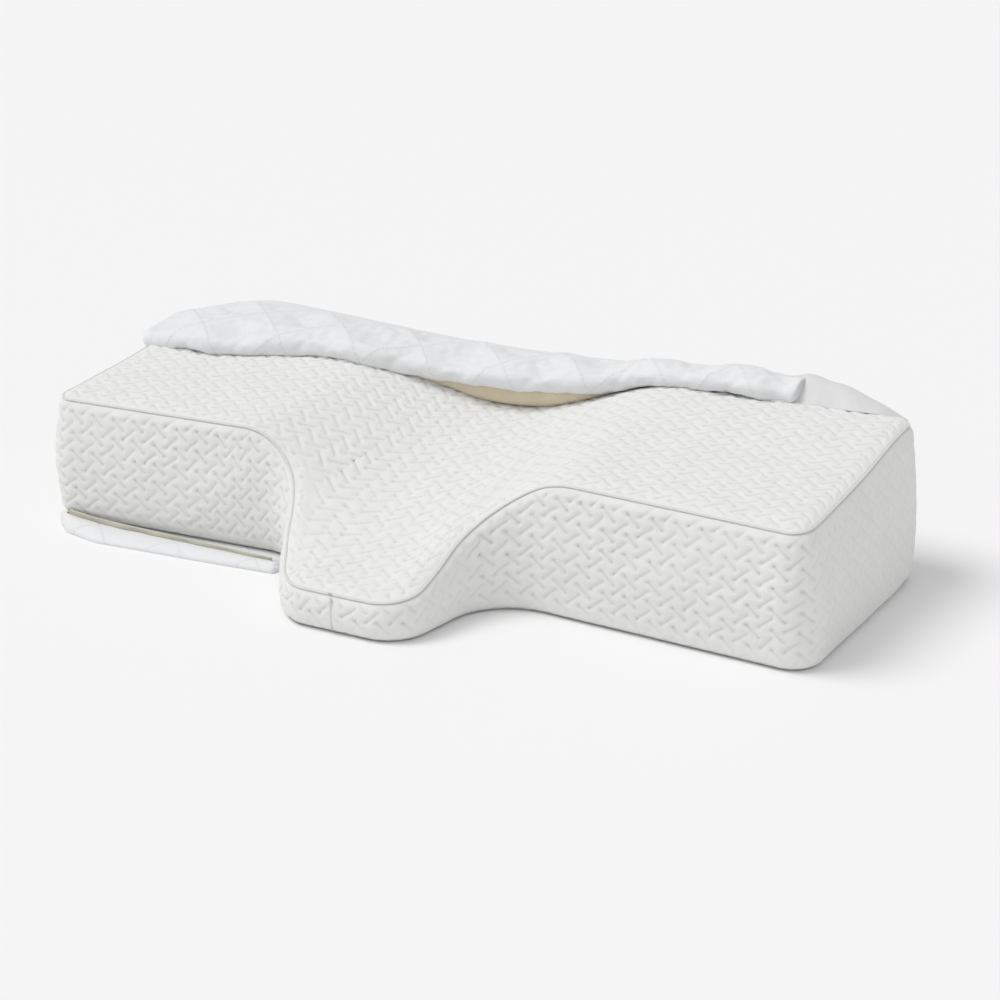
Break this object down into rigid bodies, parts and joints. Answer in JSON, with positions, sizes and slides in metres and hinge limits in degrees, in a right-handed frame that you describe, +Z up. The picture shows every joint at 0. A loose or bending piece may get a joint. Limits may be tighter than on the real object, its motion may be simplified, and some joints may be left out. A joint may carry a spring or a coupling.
{
  "type": "contoured neck pillow",
  "caption": "Contoured foam neck pillow with a low front neck rest, shoulder notches, a zigzag knit cover and a quilted outer cover folded back over its rear.",
  "frame": {"origin": "on the floor, under the middle of the pillow's length and depth", "axes": "+X along the length to the user's right, -Y towards the front neck rest, +Z up"},
  "size_m": [0.6258, 0.3071, 0.133],
  "materials": {
    "knit": "white jacquard knit with a raised zigzag",
    "quilt": "white diamond-quilted fabric, slightly smooth",
    "lining": "cream brushed lining",
    "liner": "thin white stretch jersey",
    "foam": "cream slow-recovery foam",
    "thread": "white polyester sewing thread",
    "tape": "woven off-white zip tape",
    "coil": "white nylon zip coil",
    "metal": "nickel-plated zip hardware"
  },
  "bodies": {
    "pillow": {"cover_corner_right": "quilt", "cover_zip_coil_end": "coil", "cover_zip_stop_front": "metal", "cover_zip_stop_rear": "metal", "cover_zip_tape_end": "tape", "cover_zip_tape_front": "tape", "foam_core": "foam", "inner_liner": "liner", "knit_bottom_panel": "knit", "knit_bottom_seam": "thread", "knit_rear_band_lower": "knit", "knit_rear_band_upper": "knit", "knit_side_band_left": "knit", "knit_side_band_right": "knit", "knit_top_panel": "knit", "knit_top_seam": "thread", "knit_zip_coil": "coil", "knit_zip_stop_left": "metal", "knit_zip_stop_right": "metal", "knit_zip_tape_lower": "tape", "knit_zip_tape_upper": "tape", "quilt_bottom_panel": "quilt", "quilt_rear_band": "quilt", "tongue_tip_seam": "thread"},
    "knit_slider": {"knit_zip_slider": "metal"},
    "cover_flap": {"quilt_top_panel": "quilt", "flap_lining": "lining", "cover_zip_tape_upper": "tape", "cover_zip_coil_upper": "coil"},
    "cover_slider": {"cover_zip_slider": "metal"},
    "pull_tab": {"cover_zip_pull_tab": "metal"}
  },
  "joints": [
    {"name": "flap_hinge", "type": "hinge", "parent": "pillow", "child": "cover_flap", "pos_m": [0, 0.1535, 0.121], "axis": [-1, 0, 0], "range_deg": [0, 165]},
    {"name": "knit_zip_slide", "type": "slide", "parent": "pillow", "child": "knit_slider", "axis": [1, 0, 0], "range_m": [0, 0.41]},
    {"name": "cover_zip_slide", "type": "slide", "parent": "pillow", "child": "cover_slider", "axis": [0, -1, 0], "range_m": [0, 0.122]},
    {"name": "pull_tab_hinge", "type": "hinge", "parent": "cover_slider", "child": "pull_tab", "pos_m": [-0.3157, 0.1025, 0.0118], "axis": [0, 0, -1], "range_deg": [0, 160]}
  ]
}
